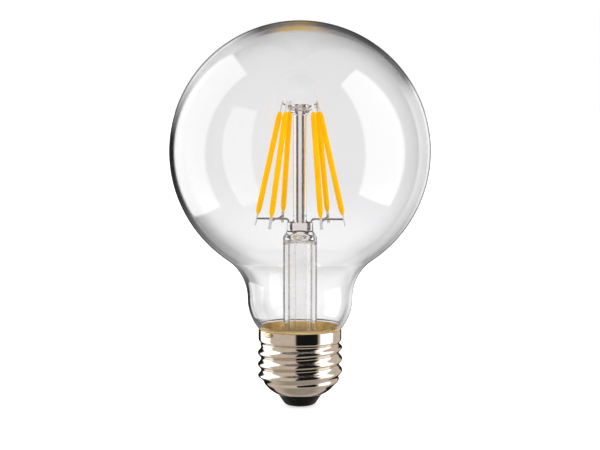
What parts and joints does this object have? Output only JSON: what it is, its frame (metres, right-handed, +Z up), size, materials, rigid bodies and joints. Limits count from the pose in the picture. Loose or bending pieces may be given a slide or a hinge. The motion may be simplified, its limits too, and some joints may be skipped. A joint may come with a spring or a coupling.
{
  "type": "globe light bulb",
  "caption": "Clear globe light bulb with a splayed cage of yellow filaments on a glass stem and a screw cap.",
  "frame": {"origin": "middle of the flat centre contact at the bottom of the cap", "axes": "+Z up the bulb's axis from the contact to the top of the globe, front at -Y, +X to the right"},
  "size_m": [0.08, 0.08, 0.1186],
  "materials": {
    "clear_glass": "clear blown glass, fire-polished",
    "phosphor": "yellow-orange silicone coat with phosphor",
    "tab_metal": "plain stamped metal",
    "wire_nickel": "drawn nickel wire",
    "tinned_wire": "tinned copper wire",
    "shell_nickel": "bright nickel plating, slightly warm",
    "black_glass": "moulded black glass, glossy",
    "contact_brass": "turned brass, lightly worn",
    "cement": "golden-brown capping cement",
    "solder": "smooth soft solder",
    "board": "white solder resist",
    "chip_black": "moulded black resin",
    "can_sleeve": "shrunk plastic sleeve",
    "fuse_enamel": "enamelled ceramic"
  },
  "bodies": {
    "root": {"glass_envelope": "clear_glass", "stem": "clear_glass", "exhaust_tube": "clear_glass", "support_rod": "clear_glass", "filament_1": "phosphor", "filament_2": "phosphor", "filament_3": "phosphor", "filament_4": "phosphor", "filament_5": "phosphor", "filament_6": "phosphor", "top_tab_1": "tab_metal", "foot_tab_1": "tab_metal", "top_tab_2": "tab_metal", "foot_tab_2": "tab_metal", "top_tab_3": "tab_metal", "foot_tab_3": "tab_metal", "top_tab_4": "tab_metal", "foot_tab_4": "tab_metal", "top_tab_5": "tab_metal", "foot_tab_5": "tab_metal", "top_tab_6": "tab_metal", "foot_tab_6": "tab_metal", "bridge_wire_1": "wire_nickel", "bridge_wire_2": "wire_nickel", "bridge_wire_3": "wire_nickel", "lead_wire_left": "wire_nickel", "lead_wire_right": "wire_nickel", "branch_arm_left_a": "wire_nickel", "branch_arm_left_b": "wire_nickel", "branch_arm_right_a": "wire_nickel", "branch_arm_right_b": "wire_nickel", "neutral_wire": "tinned_wire", "live_wire": "tinned_wire", "fuse_lead": "tinned_wire", "capacitor_lead_1": "tinned_wire", "capacitor_lead_2": "tinned_wire", "screw_shell": "shell_nickel", "cap_insulator": "black_glass", "centre_contact": "contact_brass", "capping_cement": "cement", "rim_solder": "solder", "driver_board": "board", "bridge_rectifier": "chip_black", "driver_chip": "chip_black", "sense_resistor_1": "chip_black", "sense_resistor_2": "chip_black", "smoothing_capacitor": "can_sleeve", "fuse_resistor": "fuse_enamel"}
  },
  "joints": []
}
